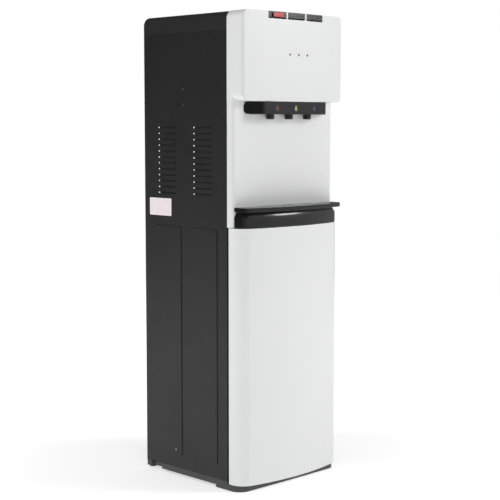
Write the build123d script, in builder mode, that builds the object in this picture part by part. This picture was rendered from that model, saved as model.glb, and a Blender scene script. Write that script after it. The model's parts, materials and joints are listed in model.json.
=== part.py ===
from build123d import *
import os
from math import cos, radians, sin

# Floor-standing water dispenser that draws from a bottle in its lower compartment.
# Millimetres. +Z is up, the front faces -Y, and the origin is on the floor under the middle.

# ---------------------------------------------------------------- driving dimensions
width = 310.0               # across the two side panels
panel_depth = 265.0         # side panel, front edge to rear edge
panel_foot = 19.5           # height of the side panels' lower edge
panel_flange = 8.0          # edges of the side and rear panels, folded inward
panel_top = 980.5           # height of the side panels' upper edge
cover_height = 36.0         # top cover above the side panels
head_rise = 1.9             # head above the top cover
lip_reach = 71.0            # front-most point, the drip tray lip, ahead of the side panels
foot_reach = 9.0            # rear feet behind the side panels
sheet = 1.2                 # steel sheet
shell = 3.0                 # moulded plastic wall
fit = 0.5                   # gap round a piece that moves or lifts out
touch = 0.3                 # gap between a moving piece and what it pushes
running = 0.05              # radial clearance of a shaft in its bore

head_foot = 831.0           # height of the head's lower face
head_reach = 54.0           # head ahead of the side panels, in the middle
head_side_reach = 46.4      # head ahead of the side panels, at its sides
head_edge = 8.0             # radius of the head's vertical edges
head_corner = 17.0          # radius of the head's corners seen from the front
column_reach = 18.2         # column ahead of the side panels
column_edge = 8.0

door_gap = 1.2              # above and below the door
door_back = 5.0             # door's back face ahead of the side panels
door_reach = 62.0
door_side_reach = 40.5
door_edge = 34.0            # radius of the door's vertical front edges
door_top = 565.0
door_wall = 3.0
door_pan = 17.0             # how far the liner is dished into the door
hinge_inset = 7.0           # hinge axis in from the door's side
hinge_ahead = 6.0           # hinge axis ahead of the door's back face
pin_radius = 3.0

tap_pitch = 57.5            # between neighbouring taps and keys
tap_reach = 31.5            # nozzle axes ahead of the side panels
nozzle_radius = 9.0
nozzle_foot = 793.5
bar_foot = 804.0
bar_reach = 53.0
bar_half = 96.0             # half width of the nozzle bar's front face
bar_root_half = 124.0       # half width where it meets the column

key_gap = 5.5               # between neighbouring keys
key_width = tap_pitch - key_gap
key_foot = 1006.2
key_wall = 3.4
key_rear = 3.0              # key's rear edge ahead of the side panels
key_drop = 3.0              # notch below a key, which takes its travel
rod_radius = 1.5
rod_reach = 7.0             # key hinge rod ahead of the side panels
rod_drop = 10.4             # key hinge rod below the head's top

housing_half = 151.5        # half width of the tray housing and the tray lip
housing_top = 588.0
lip_foot = 600.0
lip_top = 609.0
lip_side_reach = 51.7
grate_thick = 2.5

base_reach = 39.0           # base ahead of the side panels
base_edge = 27.0
base_foot = 6.0             # lower edge of the base's sides, behind its toe
base_deck = 13.3            # base's top under the door
toe_foot = 0.5              # lower edge of the base's toe
shelf_height = 569.0        # underside of the shelf over the bottle compartment
shelf_thick = 3.0

# ---------------------------------------------------------------- derived places
half = width / 2
front = (lip_reach - panel_depth - foot_reach) / 2      # front edges of the side panels
rear = front + panel_depth
inner_half = half - sheet
cover_top = panel_top + cover_height
head_top = cover_top + head_rise
door_foot = base_deck + door_gap
tray_floor = door_top + door_gap
column_face = front - column_reach
tap_y = front - tap_reach
rod_y = front - rod_reach
rod_z = head_top - rod_drop
hinge_x = -half + hinge_inset
hinge_y = front - door_back - hinge_ahead
shelf_top = shelf_height + shelf_thick
taps = {"hot": -tap_pitch, "room": 0.0, "cold": tap_pitch}

os.makedirs("parts", exist_ok=True)


# ---------------------------------------------------------------- shared shapes
def outline(half_width, back, side, middle, corner):
    """Plan outline with a straight back, a bowed front and rounded front corners."""
    with BuildSketch(mode=Mode.PRIVATE) as plan:
        with BuildLine():
            Line((half_width, side), (half_width, back))
            Line((half_width, back), (-half_width, back))
            Line((-half_width, back), (-half_width, side))
            ThreePointArc((-half_width, side), (0, middle), (half_width, side))
        make_face()
        fillet(plan.vertices().group_by(Axis.Y)[0], corner)
    return plan.sketch


def slab(sketch, low, high, mode=Mode.ADD):
    """A plan sketch raised from one height to another."""
    extrude(sketch.moved(Location((0, 0, low))), amount=high - low, dir=(0, 0, 1), mode=mode)


def block(low, high, mode=Mode.ADD):
    """Box between two opposite corners."""
    size = [b - a for a, b in zip(low, high)]
    with Locations(tuple((a + b) / 2 for a, b in zip(low, high))):
        Box(*size, mode=mode)


def post(x, y, low, high, radius, mode=Mode.ADD):
    """Upright cylinder."""
    with Locations((x, y, (low + high) / 2)):
        Cylinder(radius, high - low, mode=mode)


def bar_x(y, z, low, high, radius, mode=Mode.ADD):
    """Cylinder lying along X."""
    with Locations(((low + high) / 2, y, z)):
        Cylinder(radius, high - low, rotation=(0, 90, 0), mode=mode)


def bar_y(x, z, low, high, radius, mode=Mode.ADD):
    """Cylinder lying along Y."""
    with Locations((x, (low + high) / 2, z)):
        Cylinder(radius, high - low, rotation=(90, 0, 0), mode=mode)


def rounded_post(x, y, low, high, radius, corner):
    """Upright cylinder with rounded ends."""
    with BuildPart(mode=Mode.PRIVATE) as tank:
        post(x, y, low, high, radius)
        fillet(tank.edges().filter_by(GeomType.CIRCLE), corner)
    return tank.part


def write(piece, name):
    piece.part.label = name
    export_step(piece.part, "parts/" + name + ".step")


# ---------------------------------------------------------------- base and feet
base_wall = 3.0
base_inset = 1.0            # base's sides in from the side panels, behind the toe
base_bow = 1.0              # how far the base's front bows out
base_rear = rear - 16.0
toe_length = 36.0           # toe behind the side panels' front edges
pad_width = 38.0
pad_corner = 6.0
pad_height = 5.0
pad_recess = 2.0            # pads let into the rear skids
skid_width = pad_width + 6.0
skid_x = half - 30.0
skid_top = 18.0
skid_link = 10.0            # arm that carries a skid, in from the skid's sides
skid_rear = rear + foot_reach
skid_length = 15.0
nook_front = rear - 50.0    # sides step in from here to the rear, so the skids stand clear
nook_depth = 12.0
front_pad_y = front + 17.5
front_pad_length = 27.0
front_block = 34.0          # depth of the blocks over the front pads
bracket_rear = 18.0         # hinge plates reach this far behind the side panels' front edges
bracket_side = 30.0         # and this far beyond the hinge axis
bracket_low_x = -half + panel_flange + 1
bracket_high_x = hinge_x + bracket_side

with BuildPart() as base_plinth:
    slab(outline(half, front + toe_length, front - base_reach + base_bow, front - base_reach, base_edge),
         toe_foot, panel_foot)
    block((base_inset - half, front + toe_length, base_foot), (half - base_inset, base_rear, panel_foot))
    slab(outline(half - base_wall, front + toe_length, front - base_reach + base_bow + base_wall,
                 front - base_reach + base_wall, base_edge - base_wall),
         toe_foot, base_deck - base_wall, mode=Mode.SUBTRACT)
    block((base_inset + base_wall - half, front, toe_foot),
          (half - base_inset - base_wall, base_rear - base_wall, panel_foot - base_wall), mode=Mode.SUBTRACT)
    block((-half, front - base_reach, base_deck), (half, front, panel_foot), mode=Mode.SUBTRACT)
    block((bracket_low_x - fit, front, base_deck),
          (bracket_high_x + fit, front + bracket_rear + fit, panel_foot),
          mode=Mode.SUBTRACT)
    for side in (-1, 1):
        nook = side * (half - nook_depth)
        wall = nook - side * base_wall
        block((min(nook, side * half), nook_front, base_foot), (max(nook, side * half), rear, panel_foot),
              mode=Mode.SUBTRACT)
        block((min(nook, wall), nook_front - base_wall, base_foot), (max(nook, wall), base_rear, panel_foot))
        reveal = side * (half - base_inset)
        block((min(wall, reveal), nook_front - base_wall, base_foot),
              (max(wall, reveal), nook_front, panel_foot))
    for side in (-1, 1):
        low_x = side * skid_x - skid_width / 2
        block((low_x, front_pad_y - front_block / 2, base_foot - 1),
              (low_x + skid_width, front_pad_y + front_block / 2, base_deck - 1))
        block((low_x, skid_rear - skid_length, pad_height - pad_recess),
              (low_x + skid_width, skid_rear, skid_top))
        block((low_x + skid_link, base_rear - base_wall - 2, skid_top - 4),
              (low_x + skid_width - skid_link, skid_rear - 2, panel_foot - 1))
write(base_plinth, "base_plinth")

with BuildPart() as feet:
    for side in (-1, 1):
        foot_x = side * skid_x
        with BuildSketch():
            with Locations((foot_x, front_pad_y)):
                RectangleRounded(pad_width, front_pad_length, pad_corner)
        extrude(amount=base_foot - 1)
        with BuildSketch():
            with Locations((foot_x, skid_rear - skid_length / 2)):
                RectangleRounded(pad_width, skid_length - 2, pad_corner)
        extrude(amount=pad_height - pad_recess)
write(feet, "feet")

# ---------------------------------------------------------------- side panels
emboss_width = 90.0
emboss_rise = 1.4           # fields pressed outward, to stiffen the sheet
emboss_foot = 48.0
emboss_top = 560.0
emboss_corner = 8.0
emboss_centres = [front + 75.5, front + 189.5]
louvre_length = 57.0
louvre_pitch = 13.0
louvre_rows = 12
louvre_top = 776.0
louvre_gap = 3.4
louvre_depth = 7.0
louvre_sheet = sheet
louvre_bite = 0.4           # how far a louvre's root runs into the sheet
louvre_middle = louvre_top - louvre_pitch * (louvre_rows - 1) / 2
screw_radius = 2.0
screw_slack = 0.1           # round a screw head, and how far it sits below the sheet's face
screw_cross = (1.0, 2.6, 0.7)
# each screw's place on the panel, and how far the panel stands out there
screw_spots = [(front + 136.0, 858.5, 0.0), (front + 136.0, 825.0, 0.0), (front + 164.0, 60.0, emboss_rise)]

with BuildPart() as panel_blank:
    block((-half, front, panel_foot), (-inner_half, rear, panel_top))
    block((-half, front, panel_foot), (-half + panel_flange, front + sheet, panel_top))
    for skin, inset, mode in ((half, 0, Mode.ADD), (inner_half, sheet, Mode.SUBTRACT)):
        with BuildSketch(Plane.YZ.offset(-skin)):
            with Locations(*[(y, (emboss_foot + emboss_top) / 2) for y in emboss_centres]):
                RectangleRounded(emboss_width - 2 * inset, emboss_top - emboss_foot - 2 * inset,
                                 emboss_corner - inset)
        extrude(amount=-emboss_rise, mode=mode)
    with BuildSketch(Plane.YZ.offset(-half - emboss_rise)):
        for centre in emboss_centres:
            with Locations((centre, louvre_middle)):
                with GridLocations(0, louvre_pitch, 1, louvre_rows):
                    SlotOverall(louvre_length, louvre_gap)
        with Locations(*[(y, z) for y, z, proud in screw_spots]):
            Circle(screw_radius + screw_slack)
    extrude(amount=sheet + emboss_rise, mode=Mode.SUBTRACT)
    for centre in emboss_centres:
        with BuildSketch(Plane.XZ.offset(-centre + louvre_length / 2)):
            for row in range(louvre_rows):
                crest = louvre_top - row * louvre_pitch + louvre_gap / 2
                with BuildLine():
                    Polyline(
                        (-inner_half - louvre_bite, crest + louvre_sheet),
                        (-inner_half + louvre_sheet / 2, crest + louvre_sheet),
                        (-inner_half + louvre_depth, crest - louvre_depth),
                        (-inner_half + louvre_depth - louvre_sheet, crest - louvre_depth),
                        (-inner_half - louvre_bite, crest),
                        close=True)
                make_face()
        extrude(amount=-louvre_length)

# rating label with nothing printed on it, set flush into the left panel
label_size = (72.5, 38.5)
label_centre = (front + 212.7, 601.2)
label_thick = 0.25

with BuildPart() as rating_label:
    with BuildSketch(Plane.YZ.offset(-half)):
        with Locations(label_centre):
            RectangleRounded(*label_size, 2)
    extrude(amount=label_thick)
write(rating_label, "rating_label")

with BuildPart() as side_panel_left:
    add(panel_blank.part)
    add(rating_label.part, mode=Mode.SUBTRACT)
write(side_panel_left, "side_panel_left")

with BuildPart() as side_panel_right:
    mirror(panel_blank.part, about=Plane.YZ)
write(side_panel_right, "side_panel_right")

with BuildPart() as panel_screws:
    for side in (-1, 1):
        for y, z, proud in screw_spots:
            outer = side * (half + proud - screw_slack)
            inner = side * (half + proud - sheet)
            bar_x(y, z, min(inner, outer), max(inner, outer), screw_radius)
            with Locations((outer, y, z)):
                for turn in (35, 125):
                    Box(*screw_cross, rotation=(turn, 0, 0), mode=Mode.SUBTRACT)
write(panel_screws, "panel_screws")

# ---------------------------------------------------------------- rear panel
fan_x = 62.0
fan_z = 866.0
vent_length = 82.0
vent_pitch = 9.0
vent_gap = 4.5
fan_vent_rows = 9
low_vent_rows = 8
low_vent_z = 690.0
switch_x = -92.0
switch_z = 905.0
switch_pitch = 26.0
switch_hole = (21.0, 14.0)
inlet_x = -100.0
inlet_z = 640.0
inlet_hole = (28.0, 20.0)
drain_x = -60.0
drain_z = 612.0
drain_radius = 7.0
drain_bore = 4.0
drain_flange = 4.0          # drain's flange and cap beyond its pipe
drain_proud = 2.0           # end of the drain pipe behind the rear panel
plate_hole = (34.0, 62.0)
plate_rim = 4.0
plate_thick = 2.0
plate_depth = 12.0          # switch housing inside the rear panel
pivot_radius = 1.2
pivot_depth = 3.0           # rocker pivots inside the rear panel

with BuildPart() as rear_panel:
    block((-inner_half, rear - sheet, panel_foot), (inner_half, rear, panel_top))
    for side in (-1, 1):
        edge = side * (inner_half - sheet / 2)
        block((edge - sheet / 2, rear - panel_flange, panel_foot),
              (edge + sheet / 2, rear - sheet, panel_top))
    with BuildSketch(Plane.XZ.offset(-rear)):
        for middle, rows in ((fan_z, fan_vent_rows), (low_vent_z, low_vent_rows)):
            with Locations((fan_x, middle)):
                with GridLocations(0, vent_pitch, 1, rows):
                    SlotOverall(vent_length, vent_gap)
        with Locations((switch_x, switch_z)):
            Rectangle(*plate_hole)
        with Locations((inlet_x, inlet_z)):
            Rectangle(*inlet_hole)
        with Locations((drain_x, drain_z)):
            Circle(drain_radius)
    extrude(amount=sheet, mode=Mode.SUBTRACT)
write(rear_panel, "rear_panel")

with BuildPart() as switch_plate:
    hole_x = plate_hole[0] / 2
    hole_z = plate_hole[1] / 2
    pivot_y = rear - pivot_depth
    block((switch_x - hole_x - plate_rim, rear, switch_z - hole_z - plate_rim),
          (switch_x + hole_x + plate_rim, rear + plate_thick, switch_z + hole_z + plate_rim))
    fillet(switch_plate.edges().filter_by(Axis.Y), 3)
    block((switch_x - hole_x, rear - plate_depth, switch_z - hole_z),
          (switch_x + hole_x, rear, switch_z + hole_z))
    for step in (-0.5, 0.5):
        middle = switch_z + step * switch_pitch
        block((switch_x - switch_hole[0] / 2, rear - plate_depth + 2, middle - switch_hole[1] / 2),
              (switch_x + switch_hole[0] / 2, rear + plate_thick, middle + switch_hole[1] / 2),
              mode=Mode.SUBTRACT)
        bar_x(pivot_y, middle, switch_x - hole_x, switch_x + hole_x, pivot_radius)
write(switch_plate, "switch_plate")

rocker_depth = 6.0          # rocker inside the rear panel
rocker_proud = 3.6          # rocker's ends behind the rear panel
rocker_dip = 2.4            # rocker's middle behind the rear panel
rocker_draft = 1.6
rocker_half_x = switch_hole[0] / 2 - fit
rocker_half_z = switch_hole[1] / 2 - fit - 0.6


def rocker(middle):
    """Rocker on the switch plate's cross pin, with its two faces meeting at a shallow angle."""
    with BuildPart() as key:
        with BuildSketch(Plane.YZ.offset(switch_x - rocker_half_x)):
            with BuildLine():
                Polyline(
                    (rear - rocker_depth, middle - rocker_half_z + rocker_draft),
                    (rear + rocker_proud, middle - rocker_half_z),
                    (rear + rocker_dip, middle),
                    (rear + rocker_proud, middle + rocker_half_z),
                    (rear - rocker_depth, middle + rocker_half_z - rocker_draft),
                    close=True)
            make_face()
        extrude(amount=2 * rocker_half_x)
        bar_x(rear - pivot_depth, middle, switch_x - rocker_half_x, switch_x + rocker_half_x,
              pivot_radius + running, mode=Mode.SUBTRACT)
    return key


hot_switch = rocker(switch_z + switch_pitch / 2)
write(hot_switch, "hot_switch")
cold_switch = rocker(switch_z - switch_pitch / 2)
write(cold_switch, "cold_switch")

inlet_ear = 10.0            # inlet's flange beyond its hole, with room for two screws
inlet_rim = 4.0
inlet_flange = 2.5
inlet_depth = 22.0
inlet_wall = 2.0
inlet_pins = ((-7, -2), (7, -2), (0, 3))

with BuildPart() as power_inlet:
    socket_x = inlet_hole[0] / 2
    socket_z = inlet_hole[1] / 2
    block((inlet_x - socket_x - inlet_ear, rear, inlet_z - socket_z - inlet_rim),
          (inlet_x + socket_x + inlet_ear, rear + inlet_flange, inlet_z + socket_z + inlet_rim))
    fillet(power_inlet.edges().filter_by(Axis.Y), 4)
    block((inlet_x - socket_x, rear - inlet_depth, inlet_z - socket_z),
          (inlet_x + socket_x, rear, inlet_z + socket_z))
    block((inlet_x - socket_x + inlet_wall, rear - inlet_depth + 4, inlet_z - socket_z + inlet_wall),
          (inlet_x + socket_x - inlet_wall, rear + inlet_flange, inlet_z + socket_z - inlet_wall),
          mode=Mode.SUBTRACT)
    for pin_x, pin_z in inlet_pins:
        block((inlet_x + pin_x - 1, rear - inlet_depth + 3, inlet_z + pin_z - 2),
              (inlet_x + pin_x + 1, rear - 3, inlet_z + pin_z + 2))
write(power_inlet, "power_inlet")

# ---------------------------------------------------------------- top cover
cover_rear = rear + 4.5
cover_back_radius = 18.0
cover_side_radius = 7.0


def cover_block(inset):
    """Block with a large radius along the rear top edge and small ones along the sides."""
    with BuildPart(mode=Mode.PRIVATE) as cap:
        block((-half + inset, front + inset, panel_top),
              (half - inset, cover_rear - inset, cover_top - inset))
        rear_edge = cap.edges().filter_by(Axis.X).group_by(Axis.Z)[-1].sort_by(Axis.Y)[-1]
        fillet(rear_edge, cover_back_radius - inset)
        fillet(cap.edges().filter_by(Axis.Y).group_by(Axis.Z)[-1], cover_side_radius - inset)
    return cap.part


with BuildPart() as top_cover:
    add(cover_block(0))
    add(cover_block(shell), mode=Mode.SUBTRACT)
write(top_cover, "top_cover")

# ---------------------------------------------------------------- head shell
lamp_z = 930.0
lamp_pitch = 27.0
lamp_middle = 7.0
lamp_x = [lamp_middle - lamp_pitch, lamp_middle, lamp_middle + lamp_pitch]
lamp_radius = 2.6
head_lip = 3.0              # radius along the head's front top edge
column_bow = 0.1            # the column's front is almost flat


def head_block(inset, back):
    """Head: bowed plan, crossed with a front view that has rounded corners."""
    with BuildPart(mode=Mode.PRIVATE) as head:
        slab(outline(half - inset, back, front - head_side_reach + inset, front - head_reach + inset,
                     head_edge - inset),
             head_foot + inset, head_top - inset)
        with BuildSketch(Plane.XZ.offset(-back)):
            with Locations((0, (head_foot + head_top) / 2)):
                RectangleRounded(width - 2 * inset, head_top - head_foot - 2 * inset, head_corner - inset)
        extrude(amount=head_reach + 10, mode=Mode.INTERSECT)
    return head.part


def column_outline(inset):
    """Plan of the column: an almost flat front between two rounded edges."""
    return outline(half - inset, front, column_face + column_bow + inset, column_face + inset,
                   column_edge - inset)


with BuildPart() as head_shell:
    add(head_block(0, front))
    slab(column_outline(0), head_foot, head_foot + head_corner)
    add(head_block(shell, front + 1), mode=Mode.SUBTRACT)
    for x in taps.values():
        block((x - key_width / 2 - fit, front - head_reach - 1, key_foot - key_drop),
              (x + key_width / 2 + fit, front - key_rear + fit, head_top + 1), mode=Mode.SUBTRACT)
        post(x, tap_y, head_foot - 1, head_foot + shell + 1, nozzle_radius - 2, mode=Mode.SUBTRACT)
    for x in lamp_x:
        bar_y(x, lamp_z, front - head_reach - 1, front - head_reach + 6, lamp_radius, mode=Mode.SUBTRACT)
write(head_shell, "head_shell")

# ---------------------------------------------------------------- head chassis and key hinge rod
chassis_low = 985.0
chassis_thick = 3.0
chassis_rear = 2.0          # chassis plate starts this far ahead of the side panels
chassis_ahead = 34.0
tongue_ahead = 44.0         # the plate's middle reaches further, to hold the tap valves
tongue_half = 1.9 * tap_pitch
ear_thick = 3.0
ear_half = 4.0
ear_x = [step * tap_pitch for step in (-1.5, -0.5, 0.5, 1.5)]
plunger_radius = 4.0

with BuildPart() as head_chassis:
    top = chassis_low + chassis_thick
    block((-half + shell, front - chassis_ahead, chassis_low), (half - shell, front - chassis_rear, top))
    block((-tongue_half, front - tongue_ahead, chassis_low), (tongue_half, front - chassis_ahead, top))
    for x in ear_x:
        block((x - ear_thick / 2, rod_y - ear_half, top),
              (x + ear_thick / 2, rod_y + ear_half, rod_z + ear_half))
    bar_x(rod_y, rod_z, -2 * tap_pitch, 2 * tap_pitch, rod_radius, mode=Mode.SUBTRACT)
    for x in taps.values():
        post(x, tap_y, chassis_low - 1, top + 1, plunger_radius + 0.3, mode=Mode.SUBTRACT)
write(head_chassis, "head_chassis")

with BuildPart() as key_hinge_rod:
    bar_x(rod_y, rod_z, ear_x[0] - ear_thick / 2, ear_x[-1] + ear_thick / 2, rod_radius)
write(key_hinge_rod, "key_hinge_rod")

# ---------------------------------------------------------------- keys and child lock
key_ear = 4.0
key_ear_inset = 5.0         # ears in from the key's ends
key_back = front - head_reach + key_wall + 1     # inner face of the part of a key that hangs in front
boss_radius = 3.0
plunger_top = key_foot - 1.2
lock_width = 30.0
lock_height = 10.0
lock_z = 1011.4
lock_proud = 2.2
lock_travel = 5.0
lock_stem = (6.0, 4.0)
lock_catch = (12.0, 6.0)    # plate behind the key that keeps the lock in its slot


def dispensing_key(x, slot=False):
    """Key that wraps over the head's top front edge, with two ears on the hinge rod."""
    low_x = x - key_width / 2
    high_x = x + key_width / 2
    with BuildPart() as key:
        slab(outline(half, front, front - head_side_reach, front - head_reach, head_edge),
             key_foot, head_top)
        block((low_x, front - head_reach - 1, key_foot), (high_x, front - key_rear, head_top),
              mode=Mode.INTERSECT)
        fillet(key.faces().sort_by(Axis.Z)[-1].edges().sort_by(Axis.Y)[0], head_lip)
        block((low_x, key_back, key_foot), (high_x, front, head_top - key_wall), mode=Mode.SUBTRACT)
        if slot:
            block((x - lock_stem[0] / 2 - fit, front - head_reach - 1, lock_z - lock_stem[1] / 2 - fit),
                  (x + lock_stem[0] / 2 + lock_travel + fit, key_back + 1, lock_z + lock_stem[1] / 2 + fit),
                  mode=Mode.SUBTRACT)
        post(x, tap_y, plunger_top + touch, head_top - key_wall, boss_radius)
        for side in (-1, 1):
            ear = x + side * (key_width / 2 - key_ear_inset)
            block((ear - key_ear / 2, rod_y - ear_half, rod_z - ear_half),
                  (ear + key_ear / 2, rod_y + ear_half, head_top - key_wall))
        bar_x(rod_y, rod_z, low_x, high_x, rod_radius + running, mode=Mode.SUBTRACT)
    return key


key_hot = dispensing_key(taps["hot"], slot=True)
write(key_hot, "key_hot")
key_room = dispensing_key(taps["room"])
write(key_room, "key_room")
key_cold = dispensing_key(taps["cold"])
write(key_cold, "key_cold")

with BuildPart() as child_lock:
    lock_x = taps["hot"]
    lock_back = front - head_reach
    catch_front = key_back + touch
    with BuildSketch(Plane.XZ.offset(-lock_back)):
        with Locations((lock_x, lock_z)):
            SlotOverall(lock_width, lock_height)
    extrude(amount=lock_proud)
    fillet(child_lock.faces().sort_by(Axis.Y)[0].edges(), 0.8)
    block((lock_x - lock_stem[0] / 2, lock_back, lock_z - lock_stem[1] / 2),
          (lock_x + lock_stem[0] / 2, catch_front, lock_z + lock_stem[1] / 2))
    block((lock_x - lock_catch[0] / 2, catch_front, lock_z - lock_catch[1] / 2),
          (lock_x + lock_catch[0] / 2, catch_front + 1.5, lock_z + lock_catch[1] / 2))
write(child_lock, "child_lock")

# ---------------------------------------------------------------- taps in the head
valve_foot = 950.0
valve_radius = 11.0
valve_bore = 4.3
plunger_foot = 974.0
inlet_height = 962.0
stub_radius = 4.0
stub_reach = 12.0           # valve inlet stub ends this far ahead of the side panels
tube_radius = 5.0
tube_bore = 3.2
nozzle_top = 822.0

with BuildPart() as tap_valves:
    for x in taps.values():
        post(x, tap_y, valve_foot, chassis_low, valve_radius)
        post(x, tap_y, plunger_foot - 4, chassis_low, valve_bore, mode=Mode.SUBTRACT)
        post(x, tap_y, valve_foot, inlet_height, tube_bore, mode=Mode.SUBTRACT)
        bar_y(x, inlet_height, tap_y + valve_radius - 1, front - stub_reach, stub_radius)
write(tap_valves, "tap_valves")


def plunger(x):
    """Valve plunger, which the key's boss pushes down."""
    with BuildPart() as stem:
        post(x, tap_y, plunger_foot, plunger_top, plunger_radius)
        fillet(stem.faces().sort_by(Axis.Z)[-1].edges(), 1)
    return stem


for name, x in taps.items():
    write(plunger(x), "plunger_" + name)

with BuildPart() as dispense_tubes:
    for x in taps.values():
        post(x, tap_y, nozzle_top, valve_foot, tube_radius)
        post(x, tap_y, nozzle_top, valve_foot, tube_bore, mode=Mode.SUBTRACT)
write(dispense_tubes, "dispense_tubes")

# ---------------------------------------------------------------- nozzle bar, nozzles, drop inlays, lamps
bar_corner = 12.0
bar_shoulder = 11.0         # radius of the bar's upper corners seen from the front
bar_chin = 3.0              # and of its lower ones
bar_back_half = 76.0        # half width of the bar's back wall, which stands on the column
drop_z = 815.5
drop_radius = 4.2
drop_tip = 8.5
drop_depth = 1.0


def bar_outline(inset):
    """Plan of the nozzle bar: a flat front between two slanting ends that run back to the column."""
    with BuildSketch(mode=Mode.PRIVATE) as plan:
        with BuildLine():
            Polyline(
                (inset - bar_half, front - bar_reach + inset),
                (bar_half - inset, front - bar_reach + inset),
                (bar_root_half - inset, column_face),
                (inset - bar_root_half, column_face),
                close=True)
        make_face()
        fillet(plan.vertices().group_by(Axis.Y)[0], bar_corner)
    return plan.sketch


def drops(places, depth, mode=Mode.ADD):
    """Water drops seen from the front, sunk into the nozzle bar's front face."""
    with BuildSketch(Plane.XZ.offset(bar_reach - front), mode=Mode.PRIVATE) as marks:
        for x in places:
            with Locations((x, drop_z)):
                Circle(drop_radius)
            with BuildLine():
                Polyline(
                    (x - drop_radius * cos(radians(30)), drop_z + drop_radius * sin(radians(30))),
                    (x, drop_z + drop_tip),
                    (x + drop_radius * cos(radians(30)), drop_z + drop_radius * sin(radians(30))),
                    close=True)
            make_face()
    extrude(marks.sketch, amount=depth, dir=(0, 1, 0), mode=mode)


with BuildPart() as nozzle_bar:
    slab(bar_outline(0), bar_foot, head_foot)
    with BuildSketch(Plane.XZ.offset(-column_face)) as ends:
        with Locations((0, (bar_foot + head_foot) / 2)):
            Rectangle(2 * bar_root_half, head_foot - bar_foot)
        fillet(ends.vertices().group_by(Axis.Z)[-1], bar_shoulder)
        fillet(ends.vertices().group_by(Axis.Z)[0], bar_chin)
    extrude(amount=bar_reach, mode=Mode.INTERSECT)
    slab(bar_outline(shell), bar_foot + shell, head_foot - bar_shoulder, mode=Mode.SUBTRACT)
    block((bar_corner + shell - bar_half, front - bar_reach + shell, bar_foot + shell),
          (bar_half - bar_corner - shell, column_face, head_foot), mode=Mode.SUBTRACT)
    block((-bar_back_half, column_face - shell, bar_foot), (bar_back_half, column_face, head_foot))
    for x in taps.values():
        post(x, tap_y, bar_foot, bar_foot + shell, nozzle_radius, mode=Mode.SUBTRACT)
    drops(taps.values(), drop_depth, mode=Mode.SUBTRACT)
write(nozzle_bar, "nozzle_bar")

for name, x in taps.items():
    with BuildPart() as icon:
        drops([x], drop_depth)
    write(icon, "drop_" + name)

with BuildPart() as nozzles:
    for x in taps.values():
        post(x, tap_y, nozzle_foot, nozzle_top, nozzle_radius)
        post(x, tap_y, nozzle_foot, nozzle_top, tube_radius - 1, mode=Mode.SUBTRACT)
    chamfer(nozzles.faces().group_by(Axis.Z)[0].edges(), 1.2)
write(nozzles, "nozzles")

lens_sink = 0.4             # lenses below the head's face
lens_length = 8.0
board_behind = 10.0         # indicator board behind the head's face
board_thick = 1.6
board_half = (45.0, 14.0)
diode_radius = 2.2
diode_length = 1.4
plug_spread = 34.0
plug_size = (8.0, 3.4, 8.0)

with BuildPart() as lamp_lenses:
    lens_face = front - head_reach + lens_sink
    for x in lamp_x:
        bar_y(x, lamp_z, lens_face, lens_face + lens_length, lamp_radius)
write(lamp_lenses, "lamp_lenses")

with BuildPart() as indicator_board:
    board = front - head_reach + board_behind
    block((lamp_middle - board_half[0], board, lamp_z - board_half[1]),
          (lamp_middle + board_half[0], board + board_thick, lamp_z + board_half[1]))
    for x in lamp_x:
        bar_y(x, lamp_z, board - diode_length, board, diode_radius)
    for x in (lamp_middle - plug_spread, lamp_middle + plug_spread):
        with Locations((x, board + board_thick + plug_size[1] / 2, lamp_z)):
            Box(*plug_size)
write(indicator_board, "indicator_board")

# ---------------------------------------------------------------- column panel
with BuildPart() as column_panel:
    slab(column_outline(0), tray_floor, head_foot)
    slab(column_outline(shell), tray_floor, head_foot, mode=Mode.SUBTRACT)
write(column_panel, "column_panel")

# ---------------------------------------------------------------- drip tray, grate and housing
housing_corner = 24.0
housing_bow = 2.0           # sides of its front set back from the door's
housing_neck = 6.0
basin_half = 110.0
basin_foot = 574.0
basin_wall = 2.0
basin_ahead = 41.0
basin_behind = column_reach + 2.5
dish_rim = 2.5              # ledge that carries the grate all round
grate_ahead = 50.0
grate_behind = 23.0
grate_half = 136.0
grate_slot = (32.0, 6.5)
grate_slot_ahead = 29.0
lip_corner = 15.0


def housing_outline(inset):
    """The door's bowed front, narrowed to the housing and standing on the column's face."""
    return outline(housing_half - inset, column_face, front - door_side_reach + inset + housing_bow,
                   front - door_reach + inset, housing_corner - inset)


with BuildPart() as tray_housing:
    slab(housing_outline(0), tray_floor, housing_top)
    with BuildSketch(Plane.XY.offset(housing_top)):
        add(housing_outline(0))
    with BuildSketch(Plane.XY.offset(lip_foot - touch)):
        add(housing_outline(housing_neck))
    loft()
    block((-basin_half - fit, front - basin_ahead - fit, basin_foot - fit),
          (basin_half + fit, front - basin_behind + fit, lip_foot), mode=Mode.SUBTRACT)
write(tray_housing, "tray_housing")

with BuildPart() as drip_tray:
    slab(outline(housing_half, column_face - touch, front - lip_side_reach, front - lip_reach, lip_corner),
         lip_foot, lip_top)
    block((-basin_half, front - basin_ahead, basin_foot), (basin_half, front - basin_behind, lip_foot))
    block((-basin_half + basin_wall, front - basin_ahead + basin_wall, basin_foot + basin_wall),
          (basin_half - basin_wall, front - basin_behind - basin_wall, lip_top), mode=Mode.SUBTRACT)
    block((-grate_half - touch, front - grate_ahead - touch, lip_top - grate_thick),
          (grate_half + touch, front - grate_behind + touch, lip_top), mode=Mode.SUBTRACT)
    block((-grate_half + dish_rim, front - grate_ahead + dish_rim, lip_foot + basin_wall),
          (grate_half - dish_rim, front - grate_behind - dish_rim, lip_top), mode=Mode.SUBTRACT)
write(drip_tray, "drip_tray")

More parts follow.
